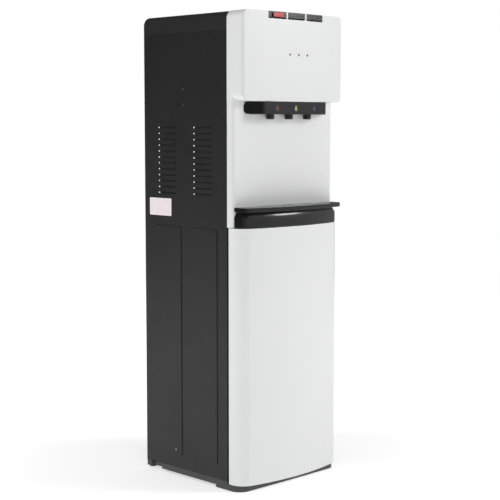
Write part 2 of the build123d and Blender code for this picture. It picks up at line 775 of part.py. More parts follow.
with BuildPart() as drip_grate:
    block((-grate_half, front - grate_ahead, lip_top - grate_thick),
          (grate_half, front - grate_behind, lip_top))
    with BuildSketch(Plane.XY.offset(lip_top)):
        with Locations(*[(x, front - grate_slot_ahead) for x in taps.values()]):
            SlotOverall(*grate_slot)
    extrude(amount=-grate_thick, mode=Mode.SUBTRACT)
write(drip_grate, "drip_grate")

# ---------------------------------------------------------------- door
pull_z = (420.0, 520.0)
pull_ahead = 9.0            # finger groove, ahead of the door's back face
pull_wall = 2.0
liner_wall = 2.0
liner_half = half - 20.0
door_y = front - door_back
bush_wall = 3.0
bush_length = 30.0
pin_length = 18.0           # hinge pin inside the door
bracket_half = 5.0          # hinge plate round the pin
pan_margin = 20.0           # flat border above and below the liner's dished middle
gasket_thick = 4.0
gasket_wide = 7.0
gasket_margin = 7.0         # door above and below the gasket
gasket_half = liner_half + 2 * liner_wall + gasket_wide
pull_low = (gasket_half, door_y - pull_ahead - pull_wall, pull_z[0] - pull_wall)
pull_high = (half, door_y, pull_z[1] + pull_wall)


def door_outline(inset, back):
    return outline(half - inset, back, front - door_side_reach + inset, front - door_reach + inset,
                   door_edge - inset)


with BuildPart() as door_shell:
    slab(door_outline(0, door_y), door_foot, door_top)
    slab(door_outline(door_wall, door_y), door_foot + door_wall, door_top - door_wall, mode=Mode.SUBTRACT)
    for low, high in ((door_foot, door_foot + bush_length), (door_top - bush_length, door_top)):
        post(hinge_x, hinge_y, low, high, pin_radius + bush_wall)
    block((-half, door_y, door_foot), (half, front, door_top), mode=Mode.SUBTRACT)
    post(hinge_x, hinge_y, door_foot, door_top, pin_radius + running, mode=Mode.SUBTRACT)
    block(pull_low, pull_high, mode=Mode.SUBTRACT)
write(door_shell, "door_shell")

with BuildPart() as door_pull:
    block(pull_low, pull_high)
    block((gasket_half + pull_wall, door_y - pull_ahead, pull_z[0]), (half, door_y, pull_z[1]),
          mode=Mode.SUBTRACT)
write(door_pull, "door_pull")

with BuildPart() as door_liner:
    edge = half - door_wall
    liner_low = door_foot + door_wall
    liner_high = door_top - door_wall
    block((-edge, door_y - liner_wall, liner_low), (edge, door_y, liner_high))
    for low, high in ((door_foot, door_foot + bush_length), (door_top - bush_length, door_top)):
        block((-edge, door_y - liner_wall, low), (hinge_x + pin_radius + bush_wall, door_y, high),
              mode=Mode.SUBTRACT)
    block(pull_low, pull_high, mode=Mode.SUBTRACT)
    pan_low = liner_low + pan_margin
    pan_high = liner_high - pan_margin
    block((-liner_half, door_y - door_pan, pan_low), (liner_half, door_y - liner_wall, pan_high))
    block((-liner_half + liner_wall, door_y - door_pan + liner_wall, pan_low + liner_wall),
          (liner_half - liner_wall, door_y, pan_high - liner_wall), mode=Mode.SUBTRACT)
write(door_liner, "door_liner")

gasket_tall = door_top - door_foot - 2 * gasket_margin

with BuildPart() as door_gasket:
    with BuildSketch(Plane.XZ.offset(-door_y)):
        with Locations((0, (door_foot + door_top) / 2)):
            RectangleRounded(2 * gasket_half, gasket_tall, 6)
            RectangleRounded(2 * (gasket_half - gasket_wide), gasket_tall - 2 * gasket_wide, 4,
                             mode=Mode.SUBTRACT)
    extrude(amount=-gasket_thick)
write(door_gasket, "door_gasket")

with BuildPart() as hinge_brackets:
    for face, grow in ((base_deck, 1), (tray_floor, -1)):
        pin_end = face + grow * (door_gap + pin_length)
        post(hinge_x, hinge_y, min(face, pin_end), max(face, pin_end), pin_radius)
        plate_end = face + grow * (door_gap - touch)
        low = min(face, plate_end)
        high = max(face, plate_end)
        block((hinge_x - bracket_half, hinge_y - bracket_half, low), (bracket_high_x, front, high))
        block((bracket_low_x, front, low), (bracket_high_x, front + bracket_rear, high))
write(hinge_brackets, "hinge_brackets")

# ---------------------------------------------------------------- bottle compartment
guide_thick = 3.0
guide_height = 16.0         # height of the guide rails' tops above the base
guide_inset = 4.0
guide_start = 22.0          # guide's floor, behind the side panels' front edges
rail_start = 30.0
rail_left = 10.0            # thickness of the left rail, which stands under the probe
rail_right = 3.0
rib_pitch = 26.0
rib_rows = 7
rib_slot = (200.0, 6.0)
rib_depth = 1.5

with BuildPart() as bottle_guide:
    low_x = guide_inset - inner_half
    high_x = inner_half - guide_inset
    guide_rear = base_rear - 4
    floor_top = panel_foot + guide_thick
    block((low_x, front + guide_start, panel_foot), (high_x, guide_rear, floor_top))
    for side_low, side_high in ((low_x, low_x + rail_left), (high_x - rail_right, high_x)):
        block((side_low, front + rail_start, floor_top), (side_high, guide_rear, panel_foot + guide_height))
    with BuildSketch(Plane.XY.offset(floor_top)):
        with Locations((0, (front + base_rear) / 2)):
            with GridLocations(0, rib_pitch, 1, rib_rows):
                SlotOverall(*rib_slot)
    extrude(amount=-rib_depth, mode=Mode.SUBTRACT)
write(bottle_guide, "bottle_guide")

probe_x = -inner_half + 17.5
probe_y = front + 132.0
collar_radius = 12.5
collar_height = 30.0
collar_round = 2.0
spout_length = 8.0          # collar's pipe above the shelf
probe_top = shelf_height - 4.0
probe_foot = 90.0
probe_radius = 5.0
probe_wall = 1.0
probe_notch = (2.4, 12.0, 20.0)
collar_foot = probe_top - collar_height
collar_end = shelf_top + spout_length
shelf_hole = 7.0
shelf_side = 3.0            # between the shelf and the side panels
shelf_lip = 12.0            # shelf's folded edges
shelf_fold = 2.0

with BuildPart() as divider_shelf:
    edge = inner_half - shelf_side
    block((-edge, front + 2, shelf_height), (edge, rear - sheet - fit, shelf_top))
    post(probe_x, probe_y, shelf_height, shelf_top, shelf_hole, mode=Mode.SUBTRACT)
    for low_x in (-edge, edge - shelf_fold):
        block((low_x, front + 2, shelf_top), (low_x + shelf_fold, rear - 4, shelf_top + shelf_lip))
write(divider_shelf, "divider_shelf")

with BuildPart() as probe_collar:
    post(probe_x, probe_y, collar_foot, probe_top, collar_radius)
    fillet(probe_collar.edges().filter_by(GeomType.CIRCLE), collar_round)
    post(probe_x, probe_y, probe_top, collar_end, tube_radius)
    post(probe_x, probe_y, collar_foot, collar_end, tube_bore, mode=Mode.SUBTRACT)
write(probe_collar, "probe_collar")

with BuildPart() as probe_tube:
    post(probe_x, probe_y, probe_foot, collar_foot, probe_radius)
    post(probe_x, probe_y, probe_foot, collar_foot, probe_radius - probe_wall, mode=Mode.SUBTRACT)
    with Locations((probe_x, probe_y, probe_foot)):
        Box(*probe_notch, mode=Mode.SUBTRACT)
write(probe_tube, "probe_tube")

switch_block = (18.0, 12.0, 26.0)
switch_button = (5.0, 10.0)
button_inset = 2.0          # button in from the switch's inner side
button_rise = 6.0           # and above its foot

with BuildPart() as door_switch:
    switch_front = front + 3
    switch_low_x = inner_half - shelf_side - switch_block[0]
    switch_foot = shelf_height - switch_block[2]
    block((switch_low_x, switch_front, switch_foot),
          (switch_low_x + switch_block[0], switch_front + switch_block[1], shelf_height))
    block((switch_low_x + button_inset, front - 0.6, switch_foot + button_rise),
          (switch_low_x + button_inset + switch_button[0], switch_front,
           switch_foot + button_rise + switch_button[1]))
write(door_switch, "door_switch")

# ---------------------------------------------------------------- pump
pump_x = 92.0
pump_y = front + 62.0
pump_size = (62.0, 84.0, 4.0)       # foot plate
pump_rise = 26.0            # pump's axis above the shelf
motor_radius = 20.0
pump_head_radius = 22.0
motor_length = (4.0, 54.0)          # from the front end of the foot plate
pump_head_length = (54.0, 80.0)
saddle_half = 12.0
saddle_length = (10.0, 70.0)
saddle_height = 12.0
pump_port = 67.0            # ports, from the front end of the foot plate
port_reach = 32.0

with BuildPart() as pump:
    pump_front = pump_y - pump_size[1] / 2
    pump_axis = shelf_top + pump_rise
    with Locations((pump_x, pump_y, shelf_top + pump_size[2] / 2)):
        Box(*pump_size)
    bar_y(pump_x, pump_axis, pump_front + motor_length[0], pump_front + motor_length[1], motor_radius)
    bar_y(pump_x, pump_axis, pump_front + pump_head_length[0], pump_front + pump_head_length[1],
          pump_head_radius)
    block((pump_x - saddle_half, pump_front + saddle_length[0], shelf_top + pump_size[2]),
          (pump_x + saddle_half, pump_front + saddle_length[1], shelf_top + saddle_height))
    bar_x(pump_front + pump_port, pump_axis, pump_x - port_reach, pump_x + port_reach, stub_radius)
write(pump, "pump")

# ---------------------------------------------------------------- cold side
cold_x = 62.0
cold_y = front + 122.0
cold_radius = 50.0
cold_low = 800.0
cold_high = 928.0
cold_port_z = cold_low + 20.0
tank_wall = 1.2
tank_corner = 12.0
foam_wall = 24.0
foam_corner = 14.0
foam_half = cold_radius + foam_wall
foam_low = cold_low - foam_wall
foam_high = cold_high + foam_wall
nipple_wall = 1.0
nipple_rise = foam_wall + 6.0
nipple_top = cold_high + nipple_rise
cold_port_y = cold_y - foam_half - 6.0
cold_inlet_x = cold_x + 22.0
room_outlet_x = cold_x - 30.0

with BuildPart() as cold_tank:
    add(rounded_post(cold_x, cold_y, cold_low, cold_high, cold_radius, tank_corner))
    add(rounded_post(cold_x, cold_y, cold_low + tank_wall, cold_high - tank_wall, cold_radius - tank_wall,
                     tank_corner - tank_wall), mode=Mode.SUBTRACT)
    for x in (cold_inlet_x, room_outlet_x):
        post(x, cold_y, cold_high - 1, nipple_top, stub_radius)
        post(x, cold_y, cold_high - 3, nipple_top, stub_radius - nipple_wall, mode=Mode.SUBTRACT)
    bar_y(cold_x, cold_port_z, cold_port_y, cold_y - cold_radius + 1, stub_radius)
write(cold_tank, "cold_tank")

module_half = 20.0
module_bite = 8.0           # cooling module's root inside the tank's widest line
module_proud = 3.5          # cooling module behind the foam
module_rear = cold_y + foam_half + module_proud

with BuildPart() as cold_insulation:
    block((cold_x - foam_half, cold_y - foam_half, foam_low),
          (cold_x + foam_half, cold_y + foam_half, foam_high))
    fillet(cold_insulation.edges().filter_by(Axis.Z), foam_corner)
    post(cold_x, cold_y, cold_low, cold_high, cold_radius, mode=Mode.SUBTRACT)
    for x in (cold_inlet_x, room_outlet_x):
        post(x, cold_y, cold_high, foam_high, stub_radius, mode=Mode.SUBTRACT)
    bar_y(cold_x, cold_port_z, cold_y - foam_half, cold_y, stub_radius, mode=Mode.SUBTRACT)
    block((cold_x - module_half, cold_y, fan_z - module_half),
          (cold_x + module_half, cold_y + foam_half, fan_z + module_half), mode=Mode.SUBTRACT)
write(cold_insulation, "cold_insulation")

with BuildPart() as cooling_module:
    block((cold_x - module_half, cold_y + cold_radius - module_bite, fan_z - module_half),
          (cold_x + module_half, module_rear, fan_z + module_half))
    post(cold_x, cold_y, fan_z - module_half, fan_z + module_half, cold_radius, mode=Mode.SUBTRACT)
write(cooling_module, "cooling_module")

sink_half = 48.0
sink_base = 5.0
sink_depth = 27.0
fin_pitch = 8.0
fin_thick = 1.6
fin_count = 12

with BuildPart() as heat_sink:
    fins_start = module_rear + sink_base
    block((fan_x - sink_half, module_rear, fan_z - sink_half),
          (fan_x + sink_half, fins_start, fan_z + sink_half))
    with Locations((fan_x, fins_start + sink_depth / 2, fan_z)):
        with GridLocations(fin_pitch, 0, fin_count, 1):
            Box(fin_thick, sink_depth, 2 * sink_half)
write(heat_sink, "heat_sink")

fan_half = 46.0
fan_depth = 25.0
fan_bore = 43.5
fan_hub = 17.0
fan_corner = 4.0
fan_blades = 7
blade_gap = 2.0             # between the blades' tips and the bore
blade_thick = 1.6
blade_pitch = 32.0          # degrees
blade_root = 1.0            # blade inside the hub
strut_depth = 4.0
strut_height = 5.0
axle_radius = 2.0
rotor_gap = 3.0             # rotor from the heat sink
rotor_depth = fan_depth - 8.0
fan_front = module_rear + sink_base + sink_depth
fan_rear = fan_front + fan_depth

with BuildPart() as fan_frame:
    block((fan_x - fan_half, fan_front, fan_z - fan_half), (fan_x + fan_half, fan_rear, fan_z + fan_half))
    fillet(fan_frame.edges().filter_by(Axis.Y), fan_corner)
    bar_y(fan_x, fan_z, fan_front, fan_rear, fan_bore, mode=Mode.SUBTRACT)
    bar_y(fan_x, fan_z, fan_rear - strut_depth, fan_rear, fan_hub)
    for angle in (45, 135):
        with Locations((fan_x, fan_rear - strut_depth / 2, fan_z)):
            Box(2 * fan_bore + 4, strut_depth, strut_height, rotation=(0, angle, 0))
    bar_y(fan_x, fan_z, fan_front + 4, fan_rear - strut_depth, axle_radius)
write(fan_frame, "fan_frame")

with BuildPart(Plane.XZ) as fan_rotor:
    blade_tip = fan_bore - blade_gap
    Cylinder(fan_hub, rotor_depth)
    with PolarLocations((fan_hub + blade_tip) / 2, fan_blades):
        Box(blade_tip - fan_hub + blade_root, blade_thick, rotor_depth + 2, rotation=(blade_pitch, 0, 0))
    Cylinder(axle_radius + running, rotor_depth + 4, mode=Mode.SUBTRACT)
fan_rotor.part.position = (fan_x, fan_front + rotor_gap + rotor_depth / 2, fan_z)
write(fan_rotor, "fan_rotor")

# ---------------------------------------------------------------- hot side
hot_x = -84.0
hot_y = front + 96.0
hot_radius = 48.0
hot_low = 640.0
hot_high = 760.0
hot_port_z = hot_high + 14.0
leg_radius = 5.0
leg_inset = 8.0             # legs in from the tank's side
leg_root = 3.5              # legs run this far up into the rounded bottom
leg_angles = (30, 150, 270)
band_low = 668.0
band_high = 700.0
band_thick = 3.0
terminal_half = 8.0
terminal_reach = 12.0
terminal_inset = 6.0
thermostat_radius = 7.0
thermostat_reach = 12.0
thermostat_root = 6.0
thermostat_z = (715.0, 738.0)

with BuildPart() as hot_tank:
    add(rounded_post(hot_x, hot_y, hot_low, hot_high, hot_radius, tank_corner))
    add(rounded_post(hot_x, hot_y, hot_low + tank_wall, hot_high - tank_wall, hot_radius - tank_wall,
                     tank_corner - tank_wall), mode=Mode.SUBTRACT)
    post(hot_x, hot_y, hot_high - 2, hot_port_z, stub_radius)
    for angle in leg_angles:
        leg_x = hot_x + (hot_radius - leg_inset) * cos(radians(angle))
        leg_y = hot_y + (hot_radius - leg_inset) * sin(radians(angle))
        post(leg_x, leg_y, shelf_top, hot_low + leg_root, leg_radius)
write(hot_tank, "hot_tank")

with BuildPart() as heater_band:
    post(hot_x, hot_y, band_low, band_high, hot_radius + band_thick)
    post(hot_x, hot_y, band_low, band_high, hot_radius, mode=Mode.SUBTRACT)
    block((hot_x - terminal_half, hot_y + hot_radius + 1, band_low + terminal_inset),
          (hot_x + terminal_half, hot_y + hot_radius + terminal_reach, band_high - terminal_inset))
write(heater_band, "heater_band")

with BuildPart() as thermostats:
    for height in thermostat_z:
        bar_y(hot_x, height, hot_y - hot_radius - thermostat_reach, hot_y - hot_radius + thermostat_root,
              thermostat_radius)
    post(hot_x, hot_y, hot_low, hot_high, hot_radius, mode=Mode.SUBTRACT)
write(thermostats, "thermostats")

# ---------------------------------------------------------------- control board and drain
board_gap = 14.0            # between the board and the right side panel's inner face
control_low = (60.0, 610.0)
control_high = (190.0, 720.0)
part_half = (11.0, 9.0)
# components on the board: distance behind the side panels' front edges, height, and how tall each stands
board_parts = ((80, 640, 26), (110, 690, 18), (150, 650, 30), (165, 700, 14))

with BuildPart() as control_board:
    board_x = inner_half - board_gap
    block((board_x, front + control_low[0], control_low[1]),
          (board_x + board_thick, front + control_high[0], control_high[1]))
    for y, z, tall in board_parts:
        block((board_x - tall, front + y - part_half[0], z - part_half[1]),
              (board_x, front + y + part_half[0], z + part_half[1]))
write(control_board, "control_board")

drain_length = 46.0
drain_start = rear - drain_length
flange_thick = 1.5
cap_rear = rear + 7.5
cap_stem = 12.0             # cap's stem inside the rear panel

with BuildPart() as drain_outlet:
    bar_y(drain_x, drain_z, drain_start, rear + drain_proud, drain_radius)
    bar_y(drain_x, drain_z, rear, rear + flange_thick, drain_radius + drain_flange)
    bar_y(drain_x, drain_z, drain_start + 4, rear + drain_proud, drain_bore, mode=Mode.SUBTRACT)
write(drain_outlet, "drain_outlet")

with BuildPart() as drain_cap:
    bar_y(drain_x, drain_z, rear + drain_proud + touch, cap_rear, drain_radius + drain_flange)
    bar_y(drain_x, drain_z, rear - cap_stem, rear + drain_proud + touch, drain_bore - touch)
write(drain_cap, "drain_cap")

# ---------------------------------------------------------------- hoses
hose_radius = 4.5
hose_bore = 3.0
hose_bend = 9.0
low_run = shelf_top + 25.0          # height of the run from the collar to the pump
high_run = nipple_top + 18.0        # height of the run over the cold tank
riser_x = cold_x + foam_half + 1.0
riser_y = front + 33.0
stub_end = front - stub_reach
behind_taps = front + 20.0
room_drop_y = front + 28.0
hot_run = hot_high + 150.0
pump_port_y = pump_y - pump_size[1] / 2 + pump_port
pump_port_z = shelf_top + pump_rise


def hose(points):
    """Hollow hose along straight runs joined by tangent arcs."""
    with BuildPart(mode=Mode.PRIVATE) as run:
        with BuildLine() as path:
            FilletPolyline(*points, radius=hose_bend)
        with BuildSketch(Plane(origin=path.line @ 0, z_dir=path.line % 0)):
            Circle(hose_radius)
            Circle(hose_bore, mode=Mode.SUBTRACT)
        sweep(path=path.line)
    return run.part


with BuildPart() as water_hoses:
    add(hose([
        (probe_x, probe_y, collar_end),
        (probe_x, probe_y, low_run),
        (drain_x, probe_y + 34, low_run),
        (pump_x - port_reach - 26, pump_port_y + 30, low_run),
        (pump_x - port_reach - 20, pump_port_y, pump_port_z),
        (pump_x - port_reach, pump_port_y, pump_port_z)]))
    add(hose([
        (pump_x + port_reach, pump_port_y, pump_port_z),
        (riser_x - 0.5, pump_port_y, pump_port_z),
        (riser_x, riser_y, pump_port_z + 12),
        (riser_x, riser_y, high_run),
        (cold_inlet_x, cold_y, high_run),
        (cold_inlet_x, cold_y, nipple_top)]))
    add(hose([
        (cold_x, cold_port_y, cold_port_z),
        (cold_x, behind_taps, cold_port_z),
        (taps["cold"], behind_taps, inlet_height),
        (taps["cold"], stub_end, inlet_height)]))
    add(hose([
        (room_outlet_x, cold_y, nipple_top),
        (room_outlet_x, cold_y, high_run),
        (taps["room"], room_drop_y, inlet_height),
        (taps["room"], stub_end, inlet_height)]))
    add(hose([
        (hot_x, hot_y, hot_port_z),
        (hot_x, hot_y, hot_run),
        (taps["hot"], behind_taps, inlet_height),
        (taps["hot"], stub_end, inlet_height)]))
    add(hose([
        (hot_x, hot_y, hot_low),
        (hot_x, hot_y, drain_z),
        (drain_x, drain_start - 30, drain_z),
        (drain_x, drain_start, drain_z)]))
write(water_hoses, "water_hoses")
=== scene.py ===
import json
import math

import bmesh
import bpy
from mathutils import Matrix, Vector


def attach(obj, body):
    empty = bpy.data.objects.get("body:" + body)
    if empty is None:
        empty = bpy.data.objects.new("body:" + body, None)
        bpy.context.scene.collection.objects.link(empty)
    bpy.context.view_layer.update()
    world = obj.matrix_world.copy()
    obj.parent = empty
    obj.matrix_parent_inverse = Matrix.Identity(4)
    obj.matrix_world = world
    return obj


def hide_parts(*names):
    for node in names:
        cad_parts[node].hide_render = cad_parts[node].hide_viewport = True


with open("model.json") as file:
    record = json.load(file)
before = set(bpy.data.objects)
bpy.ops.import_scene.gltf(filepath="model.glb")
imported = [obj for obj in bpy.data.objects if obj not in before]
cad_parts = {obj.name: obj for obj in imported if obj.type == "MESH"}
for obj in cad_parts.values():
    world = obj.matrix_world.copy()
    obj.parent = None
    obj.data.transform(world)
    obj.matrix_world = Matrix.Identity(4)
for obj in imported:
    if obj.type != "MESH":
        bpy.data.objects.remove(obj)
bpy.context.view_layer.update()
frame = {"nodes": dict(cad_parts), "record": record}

NODES = frame["nodes"]
BODY_OF = {n: b for b, ns in frame["record"]["behaviour"]["bodies"].items() for n in ns}
SLOT_OF = {p["node"]: p["material_slot"] for p in frame["record"]["subparts"]}
MM = 0.001
WELD = 2e-6                     # metres within which doubled vertices are one
FLAT = math.radians(0.05)       # faces that meet at less than this are one flat face
HARD = math.radians(32.0)       # edges sharper than this are rounded
BROAD = 2.0                     # mm; roundings wider than this get BROAD_SEGMENTS
SEGMENTS = 2
BROAD_SEGMENTS = 5
FACE_WEIGHT = 90                # how far large faces set the shading of the roundings beside them


# ---------------------------------------------------------------- materials
SMEAR_FINER = 4.3               # smears are this much finer than the blotches
SPECK_FINER = 24                # and specks of dust this much
SMOOTHEST = 0.02
DUST = (0.55, 0.53, 0.5)
GRAIN_HEIGHT = 0.0002           # metres
WAVE_HEIGHT = 0.002


def tree(name):
    """A new material with only a Principled shader and its output."""
    mat = bpy.data.materials.new(name)
    mat.use_nodes = True
    return mat, mat.node_tree.nodes, mat.node_tree.links


def coordinates(nodes):
    return nodes.new("ShaderNodeTexCoord").outputs["Object"]


def noise(nodes, links, where, scale, detail=3.0, rough=0.5, stretch=None):
    """Noise over the object's own coordinates; stretch squeezes it along the axes."""
    if stretch:
        mapping = nodes.new("ShaderNodeMapping")
        mapping.inputs["Scale"].default_value = stretch
        links.new(where, mapping.inputs["Vector"])
        where = mapping.outputs["Vector"]
    tex = nodes.new("ShaderNodeTexNoise")
    tex.inputs["Scale"].default_value = scale
    tex.inputs["Detail"].default_value = detail
    tex.inputs["Roughness"].default_value = rough
    links.new(where, tex.inputs["Vector"])
    return tex.outputs["Fac"]


def spread(nodes, links, source, low, high, start=0.3, end=0.7):
    """Maps a noise value onto a range."""
    ramp = nodes.new("ShaderNodeMapRange")
    ramp.inputs["From Min"].default_value = start
    ramp.inputs["From Max"].default_value = end
    ramp.inputs["To Min"].default_value = low
    ramp.inputs["To Max"].default_value = high
    links.new(source, ramp.inputs["Value"])
    return ramp.outputs["Result"]


def mixed(nodes, links, factor, one, two):
    mix = nodes.new("ShaderNodeMix")
    mix.data_type = "RGBA"
    for socket, value in ((mix.inputs[6], one), (mix.inputs[7], two)):
        if hasattr(value, "links"):
            links.new(value, socket)
        else:
            socket.default_value = (*value, 1.0)
    links.new(factor, mix.inputs[0])
    return mix.outputs[2]


def bump(nodes, links, height, strength, distance, normal=None):
    node = nodes.new("ShaderNodeBump")
    node.inputs["Strength"].default_value = strength
    node.inputs["Distance"].default_value = distance
    links.new(height, node.inputs["Height"])
    if normal:
        links.new(normal, node.inputs["Normal"])
    return node.outputs["Normal"]


def surface(name, colour, rough, rough_span, tint, blotch, grain, grain_depth, wave=0.0, wave_scale=6.0,
            metallic=0.0, coat=0.0, coat_rough=0.1, specular=0.5, stretch=None, dust=0.0, transmission=0.0,
            ior=1.46, subsurface=0.0):
    """Moulded, painted or metal surface: colour varies in broad blotches, roughness in smaller smears, and
    the normal carries a fine grain and, if asked, the slow waviness of a large moulding or sheet."""
    mat, nodes, links = tree(name)
    shader = nodes["Principled BSDF"]
    where = coordinates(nodes)
    broad = noise(nodes, links, where, blotch, 4.0, 0.55, stretch)
    smear = noise(nodes, links, where, blotch * SMEAR_FINER, 5.0, 0.6, stretch)
    fine = noise(nodes, links, where, grain, 2.0, 0.5, stretch)
    darker = tuple(c * (1 - tint) for c in colour)
    lighter = tuple(min(1.0, c * (1 + tint)) for c in colour)
    base = mixed(nodes, links, spread(nodes, links, broad, 0.0, 1.0), darker, lighter)
    if dust:
        speck = noise(nodes, links, where, blotch * SPECK_FINER, 6.0, 0.7)
        base = mixed(nodes, links, spread(nodes, links, speck, 0.0, dust, 0.58, 0.8), base, DUST)
    links.new(base, shader.inputs["Base Color"])
    links.new(spread(nodes, links, smear, max(SMOOTHEST, rough - rough_span), rough + rough_span),
              shader.inputs["Roughness"])
    normal = bump(nodes, links, fine, grain_depth, GRAIN_HEIGHT)
    if wave:
        slow = noise(nodes, links, where, wave_scale, 1.0, 0.4)
        normal = bump(nodes, links, slow, wave, WAVE_HEIGHT, normal)
    links.new(normal, shader.inputs["Normal"])
    shader.inputs["Metallic"].default_value = metallic
    shader.inputs["Coat Weight"].default_value = coat
    shader.inputs["Coat Roughness"].default_value = coat_rough
    shader.inputs["Specular IOR Level"].default_value = specular
    shader.inputs["IOR"].default_value = ior
    shader.inputs["Transmission Weight"].default_value = transmission
    shader.inputs["Subsurface Weight"].default_value = subsurface
    return mat


BRUSH = (1.0, 1.0, 0.03)
SLOT = {
    "white_gloss": surface("white_gloss_plastic", (0.735, 0.737, 0.740), 0.34, 0.03, 0.010, 5.0, 1400.0, 0.02,
                           coat=0.1, coat_rough=0.2, specular=0.35),
    "black_gloss": surface("black_gloss_plastic", (0.008, 0.008, 0.0085), 0.19, 0.04, 0.10, 16.0, 1200.0,
                           0.04, wave=0.02, wave_scale=9.0, coat=0.15, coat_rough=0.10, dust=0.01),
    "black_cover": surface("black_textured_plastic", (0.020, 0.020, 0.0205), 0.42, 0.06, 0.10, 12.0, 2600.0,
                           0.45, specular=0.4, dust=0.03),
    "black_steel": surface("black_powder_coat", (0.017, 0.017, 0.0173), 0.40, 0.05, 0.08, 8.0, 1800.0, 0.30,
                           wave=0.08, wave_scale=3.2, specular=0.4, dust=0.02),
    "base_grey": surface("dark_grey_plastic", (0.050, 0.050, 0.051), 0.45, 0.07, 0.12, 14.0, 2200.0, 0.40,
                         dust=0.10),
    "key_black": surface("key_black_plastic", (0.012, 0.012, 0.0125), 0.30, 0.06, 0.10, 30.0, 2400.0, 0.25,
                         dust=0.03),
    "lock_red": surface("lock_red_plastic", (0.46, 0.016, 0.022), 0.28, 0.05, 0.08, 60.0, 1800.0, 0.10,
                        coat=0.3),
    "drop_red": surface("drop_red_enamel", (0.13, 0.030, 0.034), 0.30, 0.04, 0.08, 90.0, 2000.0, 0.05),
    "drop_yellow": surface("drop_yellow_enamel", (0.36, 0.33, 0.12), 0.30, 0.04, 0.08, 90.0, 2000.0, 0.05),
    "drop_blue": surface("drop_blue_enamel", (0.035, 0.052, 0.100), 0.30, 0.04, 0.08, 90.0, 2000.0, 0.05),
    "lamp_clear": surface("lamp_lens_plastic", (0.10, 0.06, 0.06), 0.12, 0.03, 0.10, 200.0, 2500.0, 0.05,
                          coat=0.5, coat_rough=0.03),
    "label_paper": surface("label_film", (0.80, 0.72, 0.74), 0.38, 0.05, 0.03, 60.0, 1600.0, 0.08),
    "zinc_steel": surface("zinc_plated_steel", (0.56, 0.56, 0.57), 0.34, 0.08, 0.10, 40.0, 900.0, 0.20,
                          metallic=1.0),
    "stainless": surface("stainless_steel", (0.58, 0.58, 0.59), 0.24, 0.07, 0.06, 60.0, 1500.0, 0.35,
                         metallic=1.0, stretch=BRUSH),
    "sink_aluminium": surface("extruded_aluminium", (0.66, 0.66, 0.67), 0.34, 0.07, 0.06, 50.0, 1500.0, 0.35,
                              metallic=1.0, stretch=BRUSH),
    "liner_white": surface("white_satin_plastic", (0.72, 0.72, 0.715), 0.42, 0.06, 0.02, 9.0, 1800.0, 0.20,
                           wave=0.04),
    "rubber_black": surface("black_rubber", (0.018, 0.018, 0.018), 0.72, 0.08, 0.12, 40.0, 2200.0, 0.50,
                            specular=0.3, dust=0.08),
    "silicone": surface("clear_silicone", (0.78, 0.78, 0.76), 0.36, 0.06, 0.03, 40.0, 1400.0, 0.10,
                        subsurface=0.2, transmission=0.25, ior=1.41),
    "foam_white": surface("beaded_foam", (0.80, 0.80, 0.79), 0.78, 0.06, 0.05, 40.0, 260.0, 0.80),
    "board_green": surface("solder_mask", (0.020, 0.120, 0.045), 0.30, 0.06, 0.15, 50.0, 1500.0, 0.10,
                           coat=0.3),
    "switch_red": surface("switch_red_plastic", (0.46, 0.030, 0.025), 0.26, 0.05, 0.08, 60.0, 2000.0, 0.08),
    "switch_green": surface("switch_green_plastic", (0.035, 0.26, 0.075), 0.26, 0.05, 0.08, 60.0, 2000.0,
                            0.08),
}

for name, node in NODES.items():
    node.data.materials.clear()
    node.data.materials.append(SLOT[SLOT_OF[name]])


# ---------------------------------------------------------------- softened copies of the CAD shells
def edges_rounded(name, width):
    """Replaces a CAD node by a copy with its flat faces whole again and every hard edge rounded."""
    mesh = bpy.data.meshes.new(name + "_skin")
    bm = bmesh.new()
    bm.from_mesh(NODES[name].data)
    bmesh.ops.remove_doubles(bm, verts=bm.verts, dist=WELD)
    bmesh.ops.dissolve_limit(bm, angle_limit=FLAT, verts=bm.verts, edges=bm.edges,
                             use_dissolve_boundaries=False)
    for face in bm.faces:
        face.smooth = True
    bm.to_mesh(mesh)
    bm.free()
    obj = bpy.data.objects.new(name + "_skin", mesh)
    bpy.context.scene.collection.objects.link(obj)
    rounding = obj.modifiers.new("rounding", "BEVEL")
    rounding.limit_method = "ANGLE"
    rounding.angle_limit = HARD
    rounding.width = width * MM
    rounding.segments = BROAD_SEGMENTS if width > BROAD else SEGMENTS
    rounding.use_clamp_overlap = True
    shading = obj.modifiers.new("shading", "WEIGHTED_NORMAL")
    shading.weight = FACE_WEIGHT
    graph = bpy.context.evaluated_depsgraph_get()
    final = bpy.data.meshes.new_from_object(obj.evaluated_get(graph))
    obj.modifiers.clear()
    obj.data = final
    bpy.data.meshes.remove(mesh)
    final.materials.clear()
    final.materials.append(SLOT[SLOT_OF[name]])
    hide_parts(name)
    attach(obj, BODY_OF[name])


ROUNDED = {
    "base_plinth": 0.9, "feet": 0.6, "side_panel_left": 0.5, "side_panel_right": 0.5, "rear_panel": 0.4,
    "top_cover": 0.9, "head_shell": 0.8, "column_panel": 0.6, "nozzle_bar": 0.9, "nozzles": 0.4,
    "key_hot": 0.8, "key_room": 0.8, "key_cold": 0.8, "tray_housing": 3.0, "drip_tray": 0.6,
    "drip_grate": 0.5, "door_shell": 0.8, "door_liner": 0.8, "door_pull": 0.6, "switch_plate": 0.5,
    "power_inlet": 0.4, "drain_cap": 0.6, "hot_switch": 0.5, "cold_switch": 0.5, "divider_shelf": 0.4,
    "bottle_guide": 0.6,
}
for name, width in ROUNDED.items():
    edges_rounded(name, width)


# ---------------------------------------------------------------- louvres, in mm
PANEL_HALF = 155.0
PANEL_FRONT = -101.5
LOUVRE_OFFSETS = (75.5, 189.5)  # from PANEL_FRONT back to the middle of each column
LOUVRE_LENGTH = 57.0
LOUVRE_ROWS = 12
LOUVRE_TOP = 776.0
LOUVRE_PITCH = 13.0


